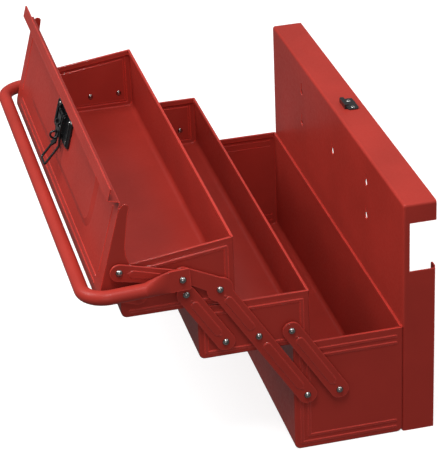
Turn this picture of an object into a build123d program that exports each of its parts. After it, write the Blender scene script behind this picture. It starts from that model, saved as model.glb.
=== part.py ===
from build123d import *
import math
import os

os.makedirs("parts", exist_ok=True)

# Wall-hung cantilever toolbox, opened out: a deep base box, a tall back panel and two trays that
# swing forward on riveted arms, with a lid, a carrying handle and a draw latch.
# Millimetres.  Origin: centre of the base's underside.  +X along the length, +Y towards the back
# panel, +Z up.  Everything is drawn in the opened position.

# ---- driving dimensions ----
LENGTH = 628.0            # outside length of the base and both trays
DEPTH = 150.0             # front to back of the base
BASE_H = 163.5            # height of the base
PANEL_H = 343.5           # height of the back panel
FLANGE = 44.6             # depth of the back panel's upper flanges
LOWER_FLANGE = 43.7       # depth of its lower side flanges
BASE_SHEET = 1.5
TRAY_SHEET = 0.7
BEND_R = 8.0              # outside radius of the long bends
HEM = 3.0                 # thickness of a folded rim
HEM_H = 7.0
HEM_NOTCH = 1.5           # radius of the relief notch at each rim corner

HALF_SWING = 32.0         # arms lean this far forward when open and as far back when closed
ARM_LOWER = 119.5         # pivot spacing, base to middle tray
ARM_UPPER = 91.6          # pivot spacing, middle tray to top tray
PIVOT_GAP = 44.0          # spacing of the two parallel arms
BASE_PIVOT = (-58.2, 87.1)
WALL_GAP = 0.6            # room left between nested walls

MID_DEPTH, MID_H = 147.6, 77.3
TOP_DEPTH, TOP_REAR_H, TOP_FRONT_H = 148.2, 93.0, 74.0
TRAY_LIFT = 0.7           # middle tray above the base rim
TOP_LIFT = 1.8            # top tray above the middle tray rim

LID_OPEN = 74.8           # slope of the lid when open
LID_PIVOT_BACK = 22.5     # lid pivot behind the top tray's front wall
LID_PIVOT_UP = 30.6       # lid pivot above the top tray's underside
LID_OFFSET = 50.4         # lid pivot to the lid's outer face
LID_FRONT, LID_REAR = -14.0, 125.0
LIP_STEP, LIP_W = 15.0, 16.0
LID_SHEET = 0.7
LID_HALF = 316.4          # outside half width of the lid
LID_CORNER = 9.0

ARM_W, ARM_T = 25.5, 2.5
PIN_R = 3.0
BORE_R = 3.05
HEAD_R, HEAD_H = 4.8, 3.5
TAIL_R, TAIL_H, LOW_TAIL_H = 4.1, 1.7, 0.5
SHOULDER_R = 5.0          # collar that keeps the handle's end off the link
WASHER_R = 8.0
PLAY = 0.2                # sideways play beside a moving sheet

WALL_X = LENGTH / 2
ARM_X = WALL_X + 3.0      # inner face of the arms
LINK_X = 320.5            # inner face of the lid links
LINK_T = 2.0
PLATE_X = 326.6           # inner face of the handle's flattened ends
PLATE_T = 3.0

CRANK = (-49.74, 28.07)    # handle pivot from the top tray pivot
LINK_PIN = (32.23, 32.87)  # link pin on the lid, along and out from the lid pivot
LINK_SLOT = 6.8           # free length of the slot at the link's handle end

TUBE_R, TUBE_WALL = 9.5, 1.2
HANDLE_REACH = 125.0
HANDLE_DIP = 2.8          # handle droop below level, degrees
HANDLE_BEND = 32.0
FLAT_H, FLAT_BACK, FLAT_FRONT, FLAT_TAPER = 29.8, 10.0, 17.0, 32.0

RIB_W, RIB_H = 4.4, 0.9             # ribs pressed into the end walls
BASE_RIB_INSETS = (10.0, 20.0)
EMBOSS_W, EMBOSS_H = 11.0, 1.0      # channel pressed along each arm
EMBOSS_WALL = 1.6                   # ridge edge to hollow edge
EMBOSS_START = 20.0                 # channel ends this far from a pivot
DIMPLE_R, DIMPLE_H, DIMPLE_AT = 2.2, 0.8, 12.5
LOBE_ROOT, LOBE_TIP = (-1.0, 5.5), (1.4, 2.6)   # crank lobe centres, from the two pivots
LOBE_ROOT_R, LOBE_TIP_R, ELBOW_R = 12.0, 10.0, 17.5
LINK_LID_R, LINK_HANDLE_R = 12.0, 9.5
SLOT_PLAY = 1.4                     # free width on each side of the pin in the link's slot

# back panel
NOTCH_LOW, NOTCH_HIGH, NOTCH_DEPTH = 245.0, 315.7, 8.7
RETURN_LIP = 14.0                   # width of the folded lip along each lower flange
KEY_BIG, KEY_SMALL, KEY_DROP = 4.6, 2.3, 12.0
KEYS = [(-156.0, 300.0), (-156.0, 250.0), (0.0, 275.0), (156.0, 300.0), (156.0, 250.0)]

# catch on the top flange, measured back from the panel's face
SMALL_RIVET_R, SMALL_BORE_R = 2.0, 2.05
CATCH_RIVETS = (-10.5, 10.5)
CATCH_RIVET_BACK = 27.5
CATCH_T = 1.6
HOOK_BACK, HOOK_W, HOOK_H = 15.0, 26.0, 7.0

# lid: the side flange's depth below the skin at places along the lid
GUSSET = [(125, 12.5), (108, 13.5), (88, 16), (67, 19), (54, 23.5), (43, 31), (30, 42), (13, 52)]
LID_EAR_R = 12.0
GROOVES = (-4.0, 6.0)               # ridges that run along the front of the lid
RIDGE_R, RIDGE_H = 2.0, 0.8
FIELD = (-232.0, 212.0, 29.0, 123.5)     # raised field: x range, then range along the lid
FIELD_H, FIELD_SLOPE, FIELD_R = 3.0, 10.0, 32.0

# draw latch: u runs along the lid from its pivot, h stands up from its raised field
LATCH_W, LATCH_U0, LATCH_U1 = 92.0, 70.0, 113.0
LATCH_H, LATCH_T = 4.0, 1.6         # height of the dished plate and its sheet
LATCH_RIVETS = [(-35.0, 77.0), (35.0, 77.0), (-35.0, 106.0), (35.0, 106.0)]
BOSS_R = 5.6                        # solid pads under the four rivets
BEAD_X, BEAD_W, BEAD_H = 40.5, 3.0, 1.4
EAR_X, EAR_T = 17.0, 1.6
EAR_SHAPE = [(79, 2), (86, 10.5), (107, 10.0), (111.5, 6), (111.5, 2)]
LEVER_U, LEVER_H = 106.0, 7.2       # lever pivot
LATCH_PIN_R, LATCH_BORE_R = 1.5, 1.55
LEVER_HALF, LEVER_T, LEVER_TOP = 9.0, 1.6, 9.6
TAB_HALF = 5.5
BAIL_U, BAIL_H = 91.0, 9.0          # bail pivot on the lever
BAIL_R = 1.7
BAIL_X = 12.6                       # half the loop's width
BAIL_KNEE, BAIL_TIP = (62.0, 5.5), (33.0, 20.0)
KNUCKLE_R = 3.4
RING_U, RING_H, RING_R, RING_WIRE = 73.0, 12.5, 5.0, 1.5

# ---- worked-out places (y, z) ----
BACK_Y = DEPTH / 2
CATCH_RIVET_Y = BACK_Y + CATCH_RIVET_BACK
sin_s, cos_s = math.sin(math.radians(HALF_SWING)), math.cos(math.radians(HALF_SWING))


def along_arm(distance):
    return (BASE_PIVOT[0] - distance * sin_s, BASE_PIVOT[1] + distance * cos_s)


def shifted(point, dy, dz=0.0):
    return (point[0] + dy, point[1] + dz)


A_BASE, A_MID, A_TOP = BASE_PIVOT, along_arm(ARM_LOWER), along_arm(ARM_LOWER + ARM_UPPER)
B_BASE, B_MID = shifted(A_BASE, PIVOT_GAP), shifted(A_MID, PIVOT_GAP)
C_MID, C_TOP = shifted(A_MID, -PIVOT_GAP), shifted(A_TOP, -PIVOT_GAP)

MID_REAR = BACK_Y - WALL_GAP - 2 * ARM_LOWER * sin_s
MID_Z = BASE_H + TRAY_LIFT
TOP_REAR = BACK_Y - WALL_GAP - 2 * (ARM_LOWER + ARM_UPPER) * sin_s
TOP_Z = MID_Z + MID_H + TOP_LIFT
LID_PIVOT = (TOP_REAR - TOP_DEPTH + LID_PIVOT_BACK, TOP_Z + LID_PIVOT_UP)
HANDLE_PIVOT = shifted(A_TOP, *CRANK)


def lid_place(shape):
    """Lid drawings have +Y along the lid and +Z out of it, from the lid pivot."""
    return Pos(0, LID_PIVOT[0], LID_PIVOT[1]) * Rot(LID_OPEN, 0, 0) * shape


def lid_point(along, out):
    a = math.radians(LID_OPEN)
    y = LID_PIVOT[0] + along * math.cos(a) - out * math.sin(a)
    return (y, LID_PIVOT[1] + along * math.sin(a) + out * math.cos(a))


Q_PIN = lid_point(*LINK_PIN)


# ---- small helpers ----
def block(x0, x1, y0, y1, z0, z1):
    return Pos((x0 + x1) / 2, (y0 + y1) / 2, (z0 + z1) / 2) * Box(x1 - x0, y1 - y0, z1 - z0)


def rod(x0, x1, point, radius):
    """Round bar along X through (y, z)."""
    return Pos((x0 + x1) / 2, point[0], point[1]) * Rot(0, 90, 0) * Cylinder(radius, abs(x1 - x0))


def side_plane(x):
    """Sketch plane across X: sketch x is world y, sketch y is world z."""
    return Plane(origin=(x, 0, 0), x_dir=(0, 1, 0), z_dir=(1, 0, 0))


def bar_outline(p, q, r_p, r_q):
    """Outline of a flat bar whose rounded ends are centred on p and q."""
    return make_hull([*(Pos(*p) * Circle(r_p)).edges(), *(Pos(*q) * Circle(r_q)).edges()])


def outline(*points):
    """Face inside a closed run of points, always facing the same way."""
    pairs = zip(points, points[1:] + points[:1])
    turn = sum(a[0] * b[1] - b[0] * a[1] for a, b in pairs)
    return Polygon(*(points if turn > 0 else points[::-1]), align=None)


def plate(sketch, x, thickness):
    return extrude(side_plane(x) * sketch, thickness, dir=(1, 0, 0))


def mirrored(shape, side):
    return shape if side > 0 else mirror(shape, Plane.YZ)


def both_sides(shape):
    return [shape, mirror(shape, Plane.YZ)]


def save(name, solids):
    items = solids if isinstance(solids, list) else [solids]
    parts = [s for item in items for s in item.solids()]
    whole = parts[0] if len(parts) == 1 else Compound(children=parts)
    export_step(whole, f"parts/{name}.step")


def dome(x, point, radius, height):
    """Domed rivet head standing on the plane at x, pointing to +X."""
    ball = (radius ** 2 + height ** 2) / (2 * height)
    half = math.asin(radius / ball) / 2
    crown = ThreePointArc(
        (0, radius), (height - ball + ball * math.cos(half), ball * math.sin(half)), (height, 0))
    profile = make_face(Polyline((height, 0), (0, 0), (0, radius)) + crown)
    return Pos(x, *point) * revolve(profile, Axis.X)


def rivet(point, x_wall, x_out, tail_h=TAIL_H):
    """Rivet from a tail just inside a wall's inner face to a domed head outside x_out."""
    shank = rod(x_wall, x_out, point, PIN_R)
    head = dome(x_out, point, HEAD_R, HEAD_H)
    tail = mirror(dome(0, point, TAIL_R, tail_h), Plane.YZ)
    return shank + head + Pos(x_wall, 0, 0) * tail


def washer(point, x0, x1, radius=WASHER_R):
    return rod(x0, x1, point, radius) - rod(x0 - 1, x1 + 1, point, BORE_R)


# ---- open sheet boxes ----
def rib_path(points, width):
    """Rounded strip of one width that follows a polyline in the plane of an end wall."""
    strip = None
    for a, b in zip(points, points[1:]):
        leg = bar_outline(a, b, width / 2, width / 2)
        strip = leg if strip is None else strip + leg
    return strip


def press_ribs(box, x_wall, sheet, runs):
    """Press ribs outwards into both end walls: a ridge outside and a groove inside."""
    for points in runs:
        ridge = plate(rib_path(points, RIB_W), x_wall, RIB_H)
        ridge = chamfer(ridge.faces().sort_by(Axis.X)[-1].edges(), RIB_H * 0.8)
        groove = plate(rib_path(points, RIB_W - 2 * sheet), x_wall - sheet - 0.1, RIB_H * 0.7 + 0.1)
        for side in (1, -1):
            box = box + mirrored(ridge, side)
            box = box - mirrored(groove, side)
    return box


def open_box(rear, depth, floor, outline_top, sheet):
    """Sheet box with open top.  outline_top gives the rim height at the front and at the rear."""
    front = rear - depth
    rim_f, rim_r = outline_top

    def solid_body(inset, drop):
        y0, y1 = front + inset, rear - inset
        z0 = floor + inset
        radius = max(BEND_R - inset, 1.0)
        shape = outline((y0, z0), (y1, z0), (y1, floor + rim_r + drop), (y0, floor + rim_f + drop))
        shape = fillet(shape.vertices().sort_by(Axis.Y)[:2], radius)
        body = plate(shape, -WALL_X + inset, LENGTH - 2 * inset)
        upright = body.edges().filter_by(Axis.Z)
        return fillet(upright, max(2.5 - inset, 0.8))

    outer = solid_body(0.0, 0.0)
    cavity = solid_body(sheet, 5.0)
    hem_outer = solid_body(0.05, -0.02)
    hem_cavity = solid_body(HEM, 6.0)
    slope = outline(
        (front - 5, floor + rim_f - HEM_H - 5 * (rim_r - rim_f) / depth),
        (rear + 5, floor + rim_r - HEM_H + 5 * (rim_r - rim_f) / depth),
        (rear + 5, floor + rim_r + 30),
        (front - 5, floor + rim_f + 30),
    )
    rim_band = plate(slope, -WALL_X - 5, LENGTH + 10)
    rim = (hem_outer & rim_band) - hem_cavity
    box = (outer - cavity) + rim
    for y, height in ((front + HEM, rim_f), (rear - HEM, rim_r)):
        for x in (WALL_X - HEM, HEM - WALL_X):
            box = box - Pos(x, y, floor + height) * Cylinder(HEM_NOTCH, 2 * HEM_H)
    return box


def pierced(box, points, sheet):
    for point in points:
        box = box - rod(WALL_X - sheet - 2, WALL_X + 2, point, BORE_R)
        box = box - rod(-WALL_X - 2, -WALL_X + sheet + 2, point, BORE_R)
    return box


def make_base():
    box = open_box(BACK_Y, DEPTH, 0.0, (BASE_H, BASE_H), BASE_SHEET)
    runs = []
    for inset in BASE_RIB_INSETS:
        f, t, b = -BACK_Y + inset, BASE_H - inset - 2, inset
        r = BACK_Y - 10.0
        runs.append([(r, t), (f, t), (f, b), (r, b)])
    box = press_ribs(box, WALL_X, BASE_SHEET, runs)
    return pierced(box, (A_BASE, B_BASE), BASE_SHEET)


def make_middle_tray():
    box = open_box(MID_REAR, MID_DEPTH, MID_Z, (MID_H, MID_H), TRAY_SHEET)
    f, r = MID_REAR - MID_DEPTH + 10, MID_REAR - 10
    t, b = MID_Z + MID_H - 12, MID_Z + 9
    runs = [[(f, t), (r, t), (r, b), (f, b), (f, t)]]
    box = press_ribs(box, WALL_X, TRAY_SHEET, runs)
    return pierced(box, (A_MID, B_MID, C_MID), TRAY_SHEET)


def make_top_tray():
    box = open_box(TOP_REAR, TOP_DEPTH, TOP_Z, (TOP_FRONT_H, TOP_REAR_H), TRAY_SHEET)
    f, r = TOP_REAR - TOP_DEPTH + 12, TOP_REAR - 10
    slope = (TOP_REAR_H - TOP_FRONT_H) / TOP_DEPTH
    t_r, t_f = TOP_Z + TOP_REAR_H - 13, TOP_Z + TOP_REAR_H - 13 - slope * (r - f)
    b = TOP_Z + 9
    runs = [[(f + 22, t_f + 22 * slope), (r, t_r), (r, b), (f, b)]]
    box = press_ribs(box, WALL_X, TRAY_SHEET, runs)
    return pierced(box, (A_TOP, C_TOP, LID_PIVOT), TRAY_SHEET)


# ---- back panel ----
def keyhole(x, z):
    """Round hole below, narrow slot above it, through the panel."""
    big = Pos(x, BACK_Y, z) * Rot(90, 0, 0) * Cylinder(KEY_BIG, 10)
    small = Pos(x, BACK_Y, z + KEY_DROP) * Rot(90, 0, 0) * Cylinder(KEY_SMALL, 10)
    slot = block(x - KEY_SMALL, x + KEY_SMALL, BACK_Y - 5, BACK_Y + 5, z, z + KEY_DROP)
    return big + small + slot


def make_back_panel():
    t = BASE_SHEET
    pan = block(-WALL_X, WALL_X, BACK_Y, BACK_Y + FLANGE, 0, PANEL_H)
    front_edges = pan.edges().filter_by(Axis.Z).group_by(Axis.Y)[0]
    front_edges += pan.faces().sort_by(Axis.Z)[-1].edges()
    front_edges = [e for e in front_edges if e.center().Y < BACK_Y + FLANGE - 1]
    pan = fillet(front_edges, 4.0)
    inside = block(-WALL_X + t, WALL_X - t, BACK_Y + t, BACK_Y + FLANGE + 9, -9, PANEL_H - t)
    corner = inside.edges().filter_by(Axis.Z).group_by(Axis.Y)[0]
    corner += [e for e in inside.faces().sort_by(Axis.Z)[-1].edges() if e.center().Y < BACK_Y + FLANGE]
    inside = fillet(corner, 4.0 - t)
    pan = pan - inside
    notch_y = BACK_Y + NOTCH_DEPTH
    window = outline(
        (notch_y, NOTCH_LOW), (BACK_Y + FLANGE + 9, NOTCH_LOW),
        (BACK_Y + FLANGE + 9, NOTCH_HIGH), (notch_y, NOTCH_HIGH))
    low = outline(
        (BACK_Y + LOWER_FLANGE, -9), (BACK_Y + FLANGE + 9, -9),
        (BACK_Y + FLANGE + 9, NOTCH_LOW + 1), (BACK_Y + LOWER_FLANGE, NOTCH_LOW + 1))
    pan = pan - plate(window, -WALL_X - 5, LENGTH + 10) - plate(low, -WALL_X - 5, LENGTH + 10)
    rear = BACK_Y + LOWER_FLANGE
    for side in (1, -1):
        lip = block(WALL_X - RETURN_LIP, WALL_X - 0.6, rear - t, rear, 0, NOTCH_LOW + 4)
        top_corner = lip.edges().filter_by(Axis.Y).group_by(Axis.Z)[-1]
        lip = fillet([top_corner.sort_by(Axis.X)[0]], 5.0)
        pan = pan + mirrored(lip, side)
    for x, z in KEYS:
        pan = pan - keyhole(x, z)
    for x in CATCH_RIVETS:
        pan = pan - Pos(x, CATCH_RIVET_Y, PANEL_H) * Cylinder(SMALL_BORE_R, 8)
    return pan


# ---- catch on the top flange ----
def make_catch():
    """Riveted foot with a hook that stands up from it and curls back over."""
    half, hook_y = HOOK_W / 2, BACK_Y + HOOK_BACK
    low, high = PANEL_H, PANEL_H + HOOK_H
    foot = block(-18, 18, BACK_Y + 19, BACK_Y + 35, low, low + CATCH_T)
    foot = fillet(foot.edges().filter_by(Axis.Z), 4.0)
    bridge = block(-half, half, hook_y, BACK_Y + 21, low, low + CATCH_T)
    wall = block(-half, half, hook_y, hook_y + CATCH_T, low, high)
    curl = block(-half, half, hook_y, hook_y + 6, high - CATCH_T, high)
    catch = foot + bridge + wall + curl
    for x in CATCH_RIVETS:
        catch = catch - Pos(x, CATCH_RIVET_Y, PANEL_H) * Cylinder(SMALL_BORE_R, 8)
    return catch


def flat_rivet(radius, head_r, length, head_h):
    """Small rivet along +Z with its head on top; the plane z = 0 is under the head."""
    shank = Pos(0, 0, -length / 2) * Cylinder(radius, length)
    return shank + Rot(0, -90, 0) * dome(0, (0, 0), head_r, head_h)


def make_catch_rivets():
    grip = CATCH_T + BASE_SHEET
    tail = Pos(0, 0, -grip) * Rot(180, 0, 0) * flat_rivet(SMALL_RIVET_R, 3.0, 0.4, 1.2)
    one = flat_rivet(SMALL_RIVET_R, 3.4, grip, 1.5) + tail
    return [Pos(x, CATCH_RIVET_Y, PANEL_H + CATCH_T) * one for x in CATCH_RIVETS]


# ---- arms and links ----
def between(p, q, start, stop):
    """Two points on the line p to q, start after p and stop before q."""
    length = math.dist(p, q)
    u = ((q[0] - p[0]) / length, (q[1] - p[1]) / length)
    return ((p[0] + u[0] * start, p[1] + u[1] * start), (q[0] - u[0] * stop, q[1] - u[1] * stop))


def embossed(arm, x_in, thickness, runs, widths=(EMBOSS_W, EMBOSS_W), height=EMBOSS_H):
    """Press a stiffening channel outwards along each run."""
    r_p, r_q = widths[0] / 2, widths[1] / 2
    for p, q in runs:
        ridge = plate(bar_outline(p, q, r_p, r_q), x_in + thickness, height)
        ridge = chamfer(ridge.faces().sort_by(Axis.X)[-1].edges(), height * 0.75)
        hollow = bar_outline(p, q, r_p - EMBOSS_WALL, r_q - EMBOSS_WALL)
        arm = arm + ridge - plate(hollow, x_in - 0.1, height + 0.1)
    return arm


def dimple(point, x):
    return dome(x, point, DIMPLE_R, DIMPLE_H)


def straight_arm(p, q):
    arm = plate(bar_outline(p, q, ARM_W / 2, ARM_W / 2), ARM_X, ARM_T)
    arm = chamfer(arm.faces().sort_by(Axis.X)[-1].edges(), 0.5)
    arm = embossed(arm, ARM_X, ARM_T, [between(p, q, EMBOSS_START, EMBOSS_START)])
    for a, b in ((p, q), (q, p)):
        arm = arm + dimple(between(a, b, DIMPLE_AT, 0)[0], ARM_X + ARM_T)
        arm = arm - rod(ARM_X - 5, ARM_X + 8, a, BORE_R)
    return arm


def long_arm():
    """Straight arm from the base to the top tray with a crank lobe that carries the handle."""
    blank = bar_outline(A_BASE, A_TOP, ARM_W / 2, ARM_W / 2) + Pos(*A_TOP) * Circle(ELBOW_R)
    lobe_root, lobe_tip = shifted(A_TOP, *LOBE_ROOT), shifted(HANDLE_PIVOT, *LOBE_TIP)
    blank = blank + bar_outline(lobe_root, lobe_tip, LOBE_ROOT_R, LOBE_TIP_R)
    arm = plate(blank, ARM_X, ARM_T)
    arm = chamfer(arm.faces().sort_by(Axis.X)[-1].edges(), 0.5)
    runs = [between(p, q, EMBOSS_START, EMBOSS_START) for p, q in ((A_BASE, A_MID), (A_MID, A_TOP))]
    arm = embossed(arm, ARM_X, ARM_T, runs)
    arm = arm + dimple(between(A_TOP, A_MID, DIMPLE_AT, 0)[0], ARM_X + ARM_T)
    arm = arm + dimple(between(A_BASE, A_MID, DIMPLE_AT, 0)[0], ARM_X + ARM_T)
    for point in (A_BASE, A_MID, A_TOP, HANDLE_PIVOT):
        arm = arm - rod(ARM_X - 5, ARM_X + 8, point, BORE_R)
    return arm


def lid_link():
    """Link from the lid to the crank, whose rivet slides in a slot behind the handle's end."""
    p, q = Q_PIN, HANDLE_PIVOT
    toward, _ = between(q, p, LINK_SLOT, 0)
    link = plate(bar_outline(p, q, LINK_LID_R, LINK_HANDLE_R), LINK_X, LINK_T)
    link = chamfer(link.faces().sort_by(Axis.X)[-1].edges(), 0.4)
    link = embossed(link, LINK_X, LINK_T, [between(p, q, 18, 30)], (11.0, 8.0), 0.8)
    link = link + dimple(between(p, q, DIMPLE_AT, 0)[0], LINK_X + LINK_T)
    link = link - rod(LINK_X - 5, LINK_X + 8, p, BORE_R)
    slot_r = PIN_R + SLOT_PLAY
    return link - plate(bar_outline(q, toward, slot_r, slot_r), LINK_X - 1, LINK_T + 2)


# ---- lid ----
def lid_side():
    """Side flange outline, in lid coordinates: shallow along the rear, deep at the pivot ear."""
    top = LID_OFFSET
    start = LID_FRONT + LID_CORNER
    points = [(start, top), (LID_REAR - 9, top), (LID_REAR - 1, top - 5)]
    points += [(along - 1, top - deep) for along, deep in GUSSET]
    edge = outline(*points, (start - 6, top - 34))
    rear_corners = edge.vertices().sort_by(Axis.X)[-3:]
    edge = fillet([v for v in rear_corners if v.Y < top - 1], 4.0)
    web = outline((start - 6, top - 30), (35, top - 30), (11.9, -2), (-11.9, -2))
    return edge + web + Circle(LID_EAR_R)


def make_lid():
    t = LID_SHEET
    half = LID_HALF
    top = LID_OFFSET
    skin = block(-half, half, LID_FRONT, LID_REAR, top - t, top)
    skin = fillet(skin.edges().filter_by(Axis.Z).group_by(Axis.Y)[0], LID_CORNER)
    riser = block(-WALL_X, WALL_X, LID_REAR - t, LID_REAR, top - t, top + LIP_STEP)
    lip = block(-WALL_X, WALL_X, LID_REAR - t, LID_REAR + LIP_W, top + LIP_STEP - t, top + LIP_STEP)
    hem = block(-WALL_X, WALL_X, LID_REAR + LIP_W - 6, LID_REAR + LIP_W, top + LIP_STEP - 2.2, top + LIP_STEP)
    flange = plate(lid_side(), half - t, t)
    lid = skin + [riser, lip, hem, flange, mirror(flange, Plane.YZ)]
    lid = press_lid(lid)
    for point in ((0.0, 0.0), LINK_PIN):
        lid = lid - rod(-half - 5, half + 5, point, BORE_R)
    for x, u in LATCH_RIVETS:
        lid = lid - Pos(x, u, top) * Cylinder(SMALL_BORE_R, 9)
    return lid


def press_lid(lid):
    """Pressings that stand up from the lid: two long ridges, one across each end, a broad field."""
    surface = Plane.XY.offset(LID_OFFSET)
    ridges = [((-282, y), (282, y)) for y in GROOVES]
    ridges += [((x, 18.0), (x, 108.0)) for x in (-291.0, 291.0)]
    for p, q in ridges:
        ridge = extrude(surface * bar_outline(p, q, RIDGE_R, RIDGE_R), RIDGE_H)
        lid = lid + chamfer(ridge.faces().sort_by(Axis.Z)[-1].edges(), RIDGE_H * 0.75)
    x0, x1, u0, u1 = FIELD
    foot = Pos((x0 + x1) / 2, (u0 + u1) / 2) * RectangleRounded(x1 - x0, u1 - u0, FIELD_R)
    crown = Pos((x0 + x1) / 2, (u0 + u1) / 2) * RectangleRounded(
        x1 - x0 - 2 * FIELD_SLOPE, u1 - u0 - 2 * FIELD_SLOPE, FIELD_R - FIELD_SLOPE)
    field = loft([surface * foot, surface.offset(FIELD_H) * crown])
    hollow = loft([surface.offset(-LID_SHEET - 0.1) * foot, surface.offset(FIELD_H - LID_SHEET) * crown])
    return lid + field - hollow


# ---- draw latch on the lid ----
def on_lid(shape):
    return lid_place(Pos(0, 0, LID_OFFSET + FIELD_H) * shape)


def make_latch_base():
    """Dished plate on four bosses, with two beads and two ears that hold the lever's pin."""
    half = LATCH_W / 2
    dish = block(-half, half, LATCH_U0, LATCH_U1, 0.0, LATCH_H)
    dish = fillet(dish.edges().filter_by(Axis.Z), 8.0)
    dish = chamfer(dish.faces().sort_by(Axis.Z)[-1].edges(), 1.4)
    wall = LATCH_T + 0.4
    inside = block(-half + wall, half - wall, LATCH_U0 + wall, LATCH_U1 - wall, -1, LATCH_H - LATCH_T)
    for x, u in LATCH_RIVETS:
        inside = inside - Pos(x, u, 0) * Cylinder(BOSS_R, 4 * LATCH_H)
    dish = dish - inside
    for side in (1, -1):
        ear = plate(outline(*EAR_SHAPE), EAR_X, EAR_T)
        x0, x1 = BEAD_X - BEAD_W / 2, BEAD_X + BEAD_W / 2
        bead = block(x0, x1, LATCH_U0 + 4, LATCH_U1 - 4, LATCH_H - 0.5, LATCH_H + BEAD_H)
        bead = fillet(bead.faces().sort_by(Axis.Z)[-1].edges(), 1.0)
        dish = dish + mirrored(ear, side) + mirrored(bead, side)
    dish = dish - rod(-30, 30, (LEVER_U, LEVER_H), LATCH_BORE_R)
    for x, u in LATCH_RIVETS:
        dish = dish - Pos(x, u, 0) * Cylinder(SMALL_BORE_R, 4 * LATCH_H)
    return on_lid(dish)


def make_latch_rivets():
    grip = LATCH_H + LID_SHEET
    tail = Pos(0, 0, -grip) * Rot(180, 0, 0) * flat_rivet(SMALL_RIVET_R, 3.0, 0.4, 1.0)
    one = flat_rivet(SMALL_RIVET_R, 3.2, grip, 1.5) + tail
    return [on_lid(Pos(x, u, LATCH_H) * one) for x, u in LATCH_RIVETS]


def make_latch_pin():
    reach = EAR_X + EAR_T + 1.5
    pin = rod(-reach, reach, (LEVER_U, LEVER_H), LATCH_PIN_R)
    return on_lid(chamfer(pin.edges().filter_by(GeomType.CIRCLE), 0.4))


def make_staple():
    """Padlock eye that stands up through the lever's slot."""
    ring = Pos(0, RING_U, RING_H) * Rot(0, 90, 0) * Torus(RING_R, RING_WIRE)
    post = block(-1.4, 1.4, RING_U - 2.9, RING_U + 2.9, LATCH_H, RING_H - 4.4)
    return on_lid(ring + post)


def make_lever():
    """Channel with two cheeks on the pin, a slot for the padlock eye and a thumb tab."""
    low, x_cheek = LEVER_TOP - LEVER_T, LEVER_HALF - LEVER_T
    blank = outline((-LEVER_HALF, 103.5), (-LEVER_HALF, 84), (-TAB_HALF, 64),
                    (TAB_HALF, 64), (LEVER_HALF, 84), (LEVER_HALF, 103.5))
    lever = extrude(Plane.XY.offset(low) * blank, LEVER_T)
    tab = outline((66, low), (66, LEVER_TOP), (60.5, LEVER_TOP + 4.5), (59, LEVER_TOP + 3.2), (63, low))
    lever = lever + plate(tab, -TAB_HALF, 2 * TAB_HALF)
    for side in (1, -1):
        cheek = outline((84, LEVER_TOP), (107.5, LEVER_TOP), (108.9, 7.8), (108.2, 5.2),
                        (106.5, 4.5), (102, 4.6), (90, low - 1))
        lever = lever + mirrored(plate(cheek, x_cheek, LEVER_T), side)
        knuckle = plate(Pos(BAIL_U, BAIL_H) * Circle(KNUCKLE_R), x_cheek - 1.0, LEVER_T + 1.0)
        lever = lever + mirrored(knuckle, side)
    slot = block(-3.2, 3.2, RING_U - 7.5, RING_U + 7.5, low - 5, LEVER_TOP + 3)
    lever = lever - slot
    lever = lever - rod(-30, 30, (LEVER_U, LEVER_H), LATCH_BORE_R)
    return on_lid(lever - rod(-30, 30, (BAIL_U, BAIL_H), BAIL_R + 0.05))


def make_bail():
    """Bent wire loop: its two ends turn inwards into the lever's knuckles."""
    x_end = LEVER_HALF - LEVER_T - 0.8
    half = [(x_end, BAIL_U, BAIL_H), (BAIL_X, BAIL_U, BAIL_H), (BAIL_X, *BAIL_KNEE), (BAIL_X, *BAIL_TIP)]
    points = half + [(-x, u, h) for x, u, h in reversed(half)]
    path = FilletPolyline(*points, radius=2.8)
    start = Plane(origin=path @ 0, z_dir=path % 0)
    return on_lid(sweep(start * Circle(BAIL_R), path=path))


# ---- handle ----
def handle_local(side_shape):
    """Handle drawings have the bar towards -Y of the pivot; tilt and place them on the pivot."""
    return Pos(0, *HANDLE_PIVOT) * Rot(HANDLE_DIP, 0, 0) * side_shape


def handle_tube(radius, inset):
    x_side = PLATE_X + TUBE_R
    y_bar = -HANDLE_REACH
    y_start = -FLAT_FRONT - FLAT_TAPER - inset
    points = [(x_side, y_start, 0), (x_side, y_bar, 0), (-x_side, y_bar, 0), (-x_side, y_start, 0)]
    path = FilletPolyline(*points, radius=HANDLE_BEND)
    start = Plane(origin=path @ 0, z_dir=path % 0)
    return sweep(start * Circle(radius), path=path)


def handle_end():
    """Tube end pressed flat around the pivot, with a smooth change from round to flat."""
    x_mid = PLATE_X + PLATE_T / 2
    pad = block(PLATE_X, PLATE_X + PLATE_T, -FLAT_FRONT, FLAT_BACK, -FLAT_H / 2, FLAT_H / 2)
    corners = pad.edges().filter_by(Axis.X).group_by(Axis.Y)[-1]
    pad = fillet(corners, 2.0)

    def across(x, y):
        return Plane(origin=(x, y, 0), x_dir=(0, 0, 1), z_dir=(0, -1, 0))

    flat = across(x_mid, -FLAT_FRONT) * RectangleRounded(FLAT_H, PLATE_T, 1.2)
    halfway = across(PLATE_X + 5.5, -FLAT_FRONT - FLAT_TAPER / 2) * Ellipse(13.2, 5.4)
    round_end = across(PLATE_X + TUBE_R, -FLAT_FRONT - FLAT_TAPER) * Circle(TUBE_R)
    return pad + loft([flat, halfway, round_end])


def make_handle():
    shape = handle_tube(TUBE_R, 0.0) - handle_tube(TUBE_R - TUBE_WALL, 4.0)
    for side in (1, -1):
        shape = shape + mirrored(handle_end(), side)
    shape = shape - rod(-PLATE_X - 9, PLATE_X + 9, (0.0, 0.0), BORE_R)
    return handle_local(shape)


# ---- rivets and washers ----
def wall_rivets(points, sheet):
    x_out = ARM_X + ARM_T + PLAY
    return [s for p in points for s in both_sides(rivet(p, WALL_X - sheet, x_out))]


def wall_washers(points, x_seat=WALL_X):
    return [s for p in points for s in both_sides(washer(p, x_seat, ARM_X - PLAY))]


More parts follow.
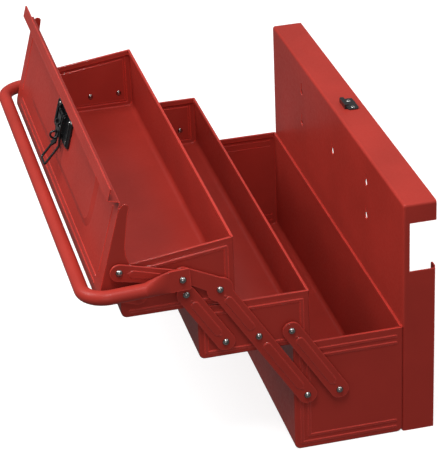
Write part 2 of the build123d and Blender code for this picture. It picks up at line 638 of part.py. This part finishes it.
def make_handle_rivets():
    """Shoulder rivets, flush inside because the lid's side passes there."""
    x_out = PLATE_X + PLATE_T + PLAY
    one = rod(ARM_X, x_out, HANDLE_PIVOT, PIN_R) + dome(x_out, HANDLE_PIVOT, HEAD_R, HEAD_H)
    shoulder = rod(LINK_X + LINK_T + PLAY, PLATE_X - PLAY, HANDLE_PIVOT, SHOULDER_R)
    return both_sides(one + shoulder)


def make_lid_rivets():
    x_out = LID_HALF + PLAY
    return both_sides(rivet(LID_PIVOT, WALL_X - TRAY_SHEET, x_out))


def make_link_rivets():
    x_out = LINK_X + LINK_T + PLAY
    return both_sides(rivet(Q_PIN, LID_HALF - LID_SHEET, x_out, LOW_TAIL_H))


def make_link_spacers():
    return both_sides(washer(Q_PIN, LID_HALF, LINK_X - PLAY, 7.0))


save("base_box", make_base())
save("back_panel", make_back_panel())
save("catch", make_catch())
save("catch_rivets", make_catch_rivets())
save("base_pivot_rivets", wall_rivets((A_BASE, B_BASE), BASE_SHEET))
save("base_pivot_washers", wall_washers((A_BASE,), WALL_X + RIB_H) + wall_washers((B_BASE,)))
save("middle_tray", make_middle_tray())
save("middle_tray_rivets", wall_rivets((A_MID, B_MID, C_MID), TRAY_SHEET))
save("middle_tray_washers", wall_washers((A_MID, B_MID, C_MID)))
save("top_tray", make_top_tray())
save("top_tray_rivets", wall_rivets((A_TOP, C_TOP), TRAY_SHEET))
save("top_tray_washers", wall_washers((A_TOP, C_TOP)))
save("lid_pivot_rivets", make_lid_rivets())
for word, side in (("right", 1), ("left", -1)):
    save(f"long_arm_{word}", mirrored(long_arm(), side))
    save(f"lower_arm_{word}", mirrored(straight_arm(B_BASE, B_MID), side))
    save(f"upper_arm_{word}", mirrored(straight_arm(C_MID, C_TOP), side))
    save(f"lid_link_{word}", mirrored(lid_link(), side))
save("lid", lid_place(make_lid()))
save("link_rivets", make_link_rivets())
save("link_spacers", make_link_spacers())
save("latch_base", make_latch_base())
save("latch_rivets", make_latch_rivets())
save("latch_pin", make_latch_pin())
save("latch_staple", make_staple())
save("latch_lever", make_lever())
save("latch_bail", make_bail())
save("handle", make_handle())
save("handle_rivets", make_handle_rivets())
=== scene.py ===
import math

import bpy
from mathutils import Matrix, Vector

# Cantilever toolbox, opened out: looks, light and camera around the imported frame.  Metres, +Z up.
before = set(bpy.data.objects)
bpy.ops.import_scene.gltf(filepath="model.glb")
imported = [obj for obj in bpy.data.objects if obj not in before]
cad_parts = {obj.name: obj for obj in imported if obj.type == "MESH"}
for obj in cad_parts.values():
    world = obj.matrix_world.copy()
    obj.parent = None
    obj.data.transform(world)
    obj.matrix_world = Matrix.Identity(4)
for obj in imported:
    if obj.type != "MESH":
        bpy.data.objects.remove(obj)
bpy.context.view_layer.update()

# ---- colours, linear ----
RED = (0.40, 0.034, 0.024)
RED_DEEP = (0.35, 0.030, 0.021)
# painted highlight: the bright red laid along the red sheet's edges and bends
RED_EDGE_HIGHLIGHT = (0.90, 0.056, 0.036)
STEEL = (0.46, 0.45, 0.44)
STEEL_DARK = (0.20, 0.19, 0.18)
BLACK = (0.006, 0.006, 0.007)
BLACK_EDGE = (0.06, 0.06, 0.065)
FLOOR = (0.45, 0.45, 0.45)
WHITE = (1.0, 1.0, 1.0)

# ---- painted edge highlight on the red, rubbed edge wear on the black ----
BEND_RADIUS = 0.0024      # how far the painted highlight and gloss spread from an edge of the red sheet
RUB_RADIUS = 0.0006       # how far the rubbed wear spreads from an edge on the small black pieces
EDGE_SAMPLES = 4

# ---- stage and light ----
FLOOR_HALF = 14.0
FLOOR_GLOW = 0.80         # keeps the ground near white where the box shades it
SKY_START = 0.3           # height in the sky, 0 to 1, where it starts to brighten
SKY_LOW, SKY_HIGH = 0.17, 0.72
LAMP_TARGET = (0.0, -0.1, 0.2)
LAMPS = (
    # name, place, size, watts
    ("key", (-0.3, -1.8, 2.2), (1.4, 1.4), 48.0),
    ("back_top", (0.5, 1.6, 2.2), (2.0, 1.0), 9.0),
    ("glint", (1.1, -0.5, 2.4), (0.5, 0.8), 24.0),
    ("end_fill", (2.6, -0.7, 0.9), (1.2, 1.2), 8.0),
)

# ---- which nodes have which finish ----
BLACK_NODES = ("catch", "latch_base", "latch_pin", "latch_staple", "latch_lever", "latch_bail")
STEEL_WORDS = ("rivets", "washers", "spacers")


# ---- material helpers ----
class Nodes:
    """Thin wrapper that adds shader nodes and links their sockets."""

    def __init__(self, name):
        self.material = bpy.data.materials.new(name)
        self.material.use_nodes = True
        self.tree = self.material.node_tree
        self.shader = self.tree.nodes["Principled BSDF"]

    def add(self, kind, **values):
        node = self.tree.nodes.new(kind)
        for key, value in values.items():
            if key in node.inputs:
                node.inputs[key].default_value = value
            else:
                setattr(node, key, value)
        return node

    def link(self, source, target):
        self.tree.links.new(source, target)

    def place(self):
        return self.add("ShaderNodeTexCoord").outputs["Object"]

    def noise(self, scale, detail=3.0, rough=0.55):
        node = self.add("ShaderNodeTexNoise", Scale=scale, Detail=detail, Roughness=rough)
        self.link(self.place(), node.inputs["Vector"])
        return node.outputs["Fac"]

    def span(self, fac, low, high, to_low=0.0, to_high=1.0):
        node = self.add("ShaderNodeMapRange")
        for key, value in (("From Min", low), ("From Max", high), ("To Min", to_low), ("To Max", to_high)):
            node.inputs[key].default_value = value
        self.link(fac, node.inputs["Value"])
        return node.outputs["Result"]

    def maths(self, operation, a, b):
        node = self.add("ShaderNodeMath", operation=operation)
        for socket, value in zip(node.inputs, (a, b)):
            if isinstance(value, (int, float)):
                socket.default_value = value
            else:
                self.link(value, socket)
        return node.outputs["Value"]

    def mix(self, fac, a, b):
        node = self.add("ShaderNodeMix", data_type="RGBA")
        self.link(fac, node.inputs[0])
        for socket, value in ((node.inputs[6], a), (node.inputs[7], b)):
            if isinstance(value, tuple):
                socket.default_value = (*value, 1.0)
            else:
                self.link(value, socket)
        return node.outputs[2]

    def edges(self, radius, low, high):
        """1 along sharp edges and bends, 0 on flat faces."""
        soft = self.add("ShaderNodeBevel", samples=EDGE_SAMPLES, Radius=radius)
        sharp = self.add("ShaderNodeNewGeometry")
        dot = self.add("ShaderNodeVectorMath", operation="DOT_PRODUCT")
        self.link(soft.outputs["Normal"], dot.inputs[0])
        self.link(sharp.outputs["Normal"], dot.inputs[1])
        return self.span(self.maths("SUBTRACT", 1.0, dot.outputs["Value"]), low, high)

    def bump(self, height, strength, distance):
        node = self.add("ShaderNodeBump", Strength=strength, Distance=distance)
        self.link(height, node.inputs["Height"])
        self.link(node.outputs["Normal"], self.shader.inputs["Normal"])

    def set(self, **values):
        for key, value in values.items():
            self.shader.inputs[key.replace("_", " ")].default_value = value


def red_paint():
    """Sprayed sheet: deep red with faint mottling, glossier along its sharp edges, where a painted
    highlight also brightens the red.
    """
    m = Nodes("red_paint")
    m.set(Specular_IOR_Level=0.16, Coat_Roughness=0.10)
    mottle = m.span(m.noise(9.0), 0.35, 0.65)
    body = m.mix(mottle, RED_DEEP, RED)
    edge = m.edges(BEND_RADIUS, 0.06, 0.30)
    # Painted highlight: the edge mask, broken up by noise, lightens sharp edges and bends toward a bright
    # red.
    broken_highlight = m.maths("MULTIPLY", edge, m.span(m.noise(60.0), 0.25, 0.6, 0.5, 1.0))
    m.link(m.mix(broken_highlight, body, RED_EDGE_HIGHLIGHT), m.shader.inputs["Base Color"])
    near_edge = m.edges(BEND_RADIUS, 0.01, 0.10)
    m.link(m.span(near_edge, 0.0, 1.0, 0.03, 1.0), m.shader.inputs["Coat Weight"])
    rounded = m.add("ShaderNodeBevel", samples=EDGE_SAMPLES, Radius=BEND_RADIUS)
    m.link(rounded.outputs["Normal"], m.shader.inputs["Coat Normal"])
    m.link(m.span(m.noise(260.0, 2.0), 0.3, 0.7, 0.34, 0.44), m.shader.inputs["Roughness"])
    m.bump(m.noise(700.0, 2.0), 0.06, 0.0004)
    return m.material


def rivet_steel():
    """Plated rivets, washers and spacers, mottled between a lighter and a darker grey."""
    m = Nodes("rivet_steel")
    m.set(Metallic=1.0)
    rub = m.span(m.noise(420.0), 0.35, 0.65)
    m.link(m.mix(rub, STEEL_DARK, STEEL), m.shader.inputs["Base Color"])
    m.link(m.span(m.noise(900.0), 0.3, 0.7, 0.10, 0.20), m.shader.inputs["Roughness"])
    m.bump(m.noise(1500.0), 0.05, 0.0002)
    return m.material


def black_coat():
    """Gloss black coating, rubbed to grey along the edges."""
    m = Nodes("black_coat")
    m.set(Specular_IOR_Level=0.45, Coat_Weight=0.25, Coat_Roughness=0.08)
    edge = m.edges(RUB_RADIUS, 0.05, 0.4)
    worn = m.maths("MULTIPLY", edge, m.span(m.noise(300.0), 0.35, 0.6, 0.2, 1.0))
    m.link(m.mix(worn, BLACK, BLACK_EDGE), m.shader.inputs["Base Color"])
    m.link(m.span(m.noise(500.0), 0.3, 0.7, 0.22, 0.36), m.shader.inputs["Roughness"])
    m.bump(m.noise(1100.0), 0.08, 0.0002)
    return m.material


def finish_frame():
    """Gives every node its paint, plating or black coat."""
    red, steel, black = red_paint(), rivet_steel(), black_coat()
    for name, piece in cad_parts.items():
        if name in BLACK_NODES:
            chosen = black
        elif name.endswith(STEEL_WORDS):
            chosen = steel
        else:
            chosen = red
        piece.data.materials.clear()
        piece.data.materials.append(chosen)


# ---- stage ----
def make_floor():
    """Pale ground that lights nothing from below and doesn't show in the paint."""
    mesh = bpy.data.meshes.new("floor")
    signs = ((-1, -1), (1, -1), (1, 1), (-1, 1))
    corners = [(x * FLOOR_HALF, y * FLOOR_HALF, 0) for x, y in signs]
    mesh.from_pydata(corners, [], [(0, 1, 2, 3)])
    floor = bpy.data.objects.new("floor", mesh)
    bpy.context.scene.collection.objects.link(floor)
    m = Nodes("pale_floor")
    m.set(Base_Color=(*FLOOR, 1.0), Roughness=0.9, Specular_IOR_Level=0.1)
    m.set(Emission_Color=(*WHITE, 1.0), Emission_Strength=FLOOR_GLOW)
    mesh.materials.append(m.material)
    floor.visible_glossy = False
    floor.visible_diffuse = False


def area_light(name, place, size, watts):
    data = bpy.data.lights.new(name, "AREA")
    data.shape = "RECTANGLE"
    data.size, data.size_y = size
    data.energy = watts
    lamp = bpy.data.objects.new(name, data)
    bpy.context.scene.collection.objects.link(lamp)
    facing = (Vector(LAMP_TARGET) - Vector(place)).to_track_quat("-Z", "Y")
    lamp.matrix_world = Matrix.Translation(place) @ facing.to_matrix().to_4x4()


def make_sky():
    """White sky, dim up to SKY_START and brightest overhead."""
    world = bpy.data.worlds.new("studio")
    bpy.context.scene.world = world
    world.use_nodes = True
    tree = world.node_tree
    background = tree.nodes["Background"]
    place = tree.nodes.new("ShaderNodeTexCoord")
    split = tree.nodes.new("ShaderNodeSeparateXYZ")
    span = tree.nodes.new("ShaderNodeMapRange")
    limits = (("From Min", SKY_START), ("From Max", 1.0), ("To Min", SKY_LOW), ("To Max", SKY_HIGH))
    for key, value in limits:
        span.inputs[key].default_value = value
    tree.links.new(place.outputs["Generated"], split.inputs[0])
    tree.links.new(split.outputs["Z"], span.inputs["Value"])
    tree.links.new(span.outputs["Result"], background.inputs["Strength"])
    background.inputs["Color"].default_value = (*WHITE, 1.0)


def make_light():
    make_sky()
    for lamp in LAMPS:
        area_light(*lamp)


# ---- camera ----
AZIMUTH, ELEVATION, ROLL = math.radians(76.99), math.radians(27.98), -0.04247
LENS, SENSOR = 166.3, 36.0           # millimetres
DEPTH = 0.150                        # front to back of the base
OFFSET = Vector((1.136, 0.9192, 20.51)) * DEPTH      # from the base's rear edge, in camera axes


def make_camera():
    """Long lens from the right-hand end, looking down along the box."""
    sin_a, cos_a = math.sin(AZIMUTH), math.cos(AZIMUTH)
    sin_e, cos_e = math.sin(ELEVATION), math.cos(ELEVATION)
    back = Vector((sin_a * cos_e, -cos_a * cos_e, sin_e))
    right = Vector((0, 0, 1)).cross(back).normalized()
    up = back.cross(right)
    right, up = (
        math.cos(ROLL) * right + math.sin(ROLL) * up,
        -math.sin(ROLL) * right + math.cos(ROLL) * up,
    )
    place = Vector((0, DEPTH / 2, 0)) - OFFSET.x * right + OFFSET.y * up + OFFSET.z * back
    data = bpy.data.cameras.new("camera")
    data.lens = LENS
    data.sensor_width = SENSOR
    camera = bpy.data.objects.new("camera", data)
    bpy.context.scene.collection.objects.link(camera)
    turn = Matrix((right, up, back)).transposed().to_4x4()
    camera.matrix_world = Matrix.Translation(place) @ turn
    bpy.context.scene.camera = camera


finish_frame()
make_floor()
make_light()
make_camera()
bpy.context.scene.view_settings.view_transform = "Standard"
